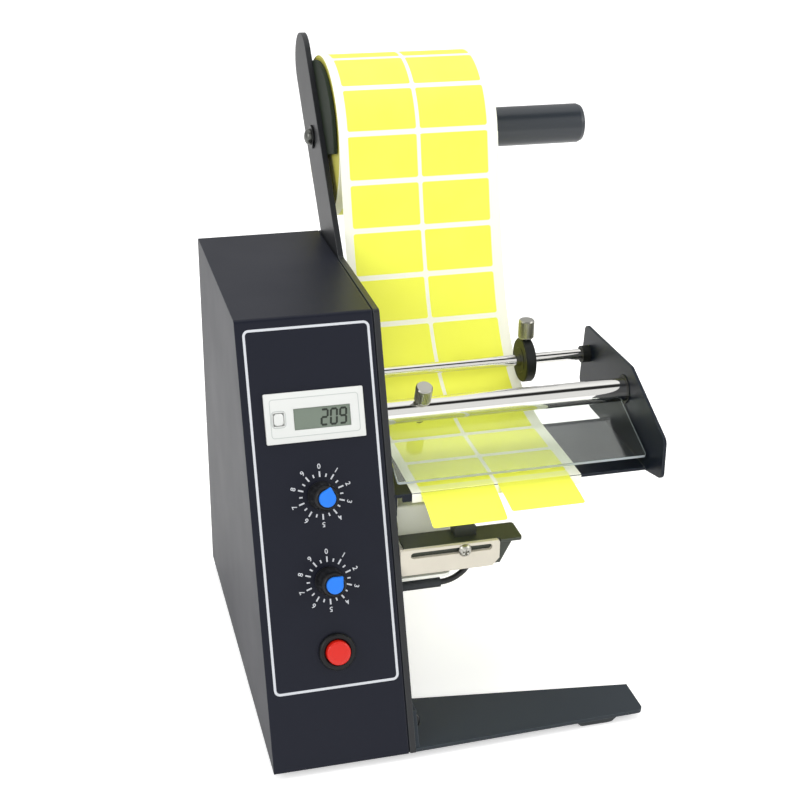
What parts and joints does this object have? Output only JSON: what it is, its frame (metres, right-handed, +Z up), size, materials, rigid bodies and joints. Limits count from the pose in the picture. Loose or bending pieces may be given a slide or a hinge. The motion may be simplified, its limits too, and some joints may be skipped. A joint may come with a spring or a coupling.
{
  "type": "label dispenser machine",
  "caption": "Desk label dispenser: leaning control box with counter and dials, arm with label roll, feed table with peel edge and clear press cover, label sensor and outrigger leg",
  "frame": {"origin": "middle of the footprint's bounding box, on the desk", "axes": "+X from the control box towards the free end of the roll spindle, +Y from the front panel to the back, +Z up"},
  "size_m": [0.224, 0.2688, 0.3035],
  "materials": {
    "bearing_bronze": "sintered bush",
    "black_anodised": "satin black anodised",
    "black_oxide_steel": "black oxide",
    "black_plastic": "black moulded",
    "black_powder_coat": "fine textured black powder coat",
    "black_pvc": "cable jacket",
    "black_rubber": "moulded rubber",
    "blue_plastic": "blue moulded",
    "brass": "turned",
    "cardboard": "grey-brown core",
    "chromed_steel": "polished",
    "circuit_board": "green laminate",
    "clear_acrylic": "clear acrylic",
    "component_plastic": "mixed components",
    "cream_plate": "light cream coating",
    "lcd_glass": "grey-green display",
    "machined_steel": "turned",
    "red_plastic": "red moulded",
    "steel_shaft": "ground",
    "white_abs": "satin white",
    "white_liner": "glazed liner with labels",
    "yellow_label_stock": "fluorescent yellow labels on white liner",
    "zinc_steel": "bright zinc"
  },
  "bodies": {
    "machine_body": {"board_components": "component_plastic", "board_standoffs": "brass", "bottom_plate": "black_powder_coat", "cable_sleeve": "black_rubber", "control_board": "circuit_board", "counter_display": "lcd_glass", "counter_housing": "white_abs", "cover_screws": "black_oxide_steel", "cover_shell": "black_powder_coat", "feed_table": "black_anodised", "gearmotor_can": "machined_steel", "gearmotor_gearbox": "machined_steel", "guide_rod": "chromed_steel", "guide_rod_bosses": "black_plastic", "guide_rod_screw": "black_oxide_steel", "leg_screws": "black_oxide_steel", "length_potentiometer": "machined_steel", "liner_web": "white_liner", "main_side_plate": "black_powder_coat", "motor_screws": "black_oxide_steel", "outrigger_leg": "black_powder_coat", "panel_nuts": "machined_steel", "power_inlet": "black_plastic", "power_switch_body": "black_plastic", "presented_labels": "yellow_label_stock", "press_bar_bushes": "black_plastic", "roll_side_guide": "black_powder_coat", "rubber_feet": "black_rubber", "sensor_cable": "black_pvc", "sensor_plate_screws": "machined_steel", "sensor_rail": "zinc_steel", "slotted_plate": "cream_plate", "speed_potentiometer": "machined_steel", "spindle_bolt": "black_oxide_steel", "spindle_tube": "black_anodised", "spindle_washer": "black_oxide_steel", "table_screws": "machined_steel", "take_up_bearing": "bearing_bronze"},
    "label_roll_body": {"roll_core": "cardboard", "label_roll": "yellow_label_stock"},
    "take_up": {"take_up_spindle": "steel_shaft", "take_up_clip": "steel_shaft", "wound_liner": "white_liner"},
    "length_dial": {"length_pot_shaft": "brass", "length_knob": "black_plastic", "length_knob_cap": "blue_plastic"},
    "speed_dial": {"speed_pot_shaft": "brass", "speed_knob": "black_plastic", "speed_knob_cap": "blue_plastic"},
    "power_push": {"power_button": "red_plastic"},
    "reset_push": {"counter_reset_button": "white_abs"},
    "edge_guide": {"edge_guide_disc": "black_plastic"},
    "edge_guide_screw": {"edge_guide_thumbscrew": "machined_steel"},
    "press_cover_assembly": {"press_bar": "chromed_steel", "press_cover": "clear_acrylic", "press_bar_screw": "black_oxide_steel"},
    "cover_screw_body": {"cover_thumbscrew": "machined_steel"},
    "sensor_carriage": {"sensor_bracket": "black_powder_coat", "sensor_head": "black_plastic", "sensor_screw": "machined_steel"}
  },
  "joints": [
    {"name": "roll_spin", "type": "hinge", "parent": "machine_body", "child": "label_roll_body", "pos_m": [0.0043, 0.08787, 0.2529], "axis": [1, 0, 0], "continuous": true},
    {"name": "take_up_spin", "type": "hinge", "parent": "machine_body", "child": "take_up", "pos_m": [0.0101, -0.03943, 0.104], "axis": [1, 0, 0], "continuous": true},
    {"name": "length_knob_turn", "type": "hinge", "parent": "machine_body", "child": "length_dial", "pos_m": [-0.0776, -0.09157, 0.1272], "axis": [0, 0.9284, -0.3717], "range_deg": [-19.5, 304.5]},
    {"name": "speed_knob_turn", "type": "hinge", "parent": "machine_body", "child": "speed_dial", "pos_m": [-0.0776, -0.10677, 0.08922], "axis": [0, 0.9284, -0.3717], "range_deg": [-47.5, 276.5]},
    {"name": "power_button_push", "type": "slide", "parent": "machine_body", "child": "power_push", "axis": [0, 0.9284, -0.3717], "range_m": [0, 0.0025], "stiffness_N_per_m": 300, "springref_m": -0.002},
    {"name": "reset_button_push", "type": "slide", "parent": "machine_body", "child": "reset_push", "axis": [0, 0.9284, -0.3717], "range_m": [0, 0.0008], "stiffness_N_per_m": 400, "springref_m": -0.001},
    {"name": "edge_guide_slide", "type": "slide", "parent": "machine_body", "child": "edge_guide", "axis": [1, 0, 0], "range_m": [-0.085, 0.029]},
    {"name": "edge_guide_screw_turn", "type": "hinge", "parent": "edge_guide", "child": "edge_guide_screw", "pos_m": [0.0512, -0.00543, 0.16], "axis": [0, 0, 1], "range_deg": [0, 360]},
    {"name": "press_cover_hinge", "type": "hinge", "parent": "machine_body", "child": "press_cover_assembly", "pos_m": [0.023, -0.05513, 0.15], "axis": [-1, 0, 0], "range_deg": [0, 110]},
    {"name": "cover_thumbscrew_turn", "type": "hinge", "parent": "press_cover_assembly", "child": "cover_screw_body", "pos_m": [-0.0205, -0.05513, 0.15], "axis": [0, -0.3697, 0.9291], "range_deg": [0, 360]},
    {"name": "sensor_slide", "type": "slide", "parent": "machine_body", "child": "sensor_carriage", "axis": [1, 0, 0], "range_m": [0, 0.012]}
  ],
  "couplings": [
    {"joint": "take_up_spin", "follows": "roll_spin", "ratio": -4}
  ]
}
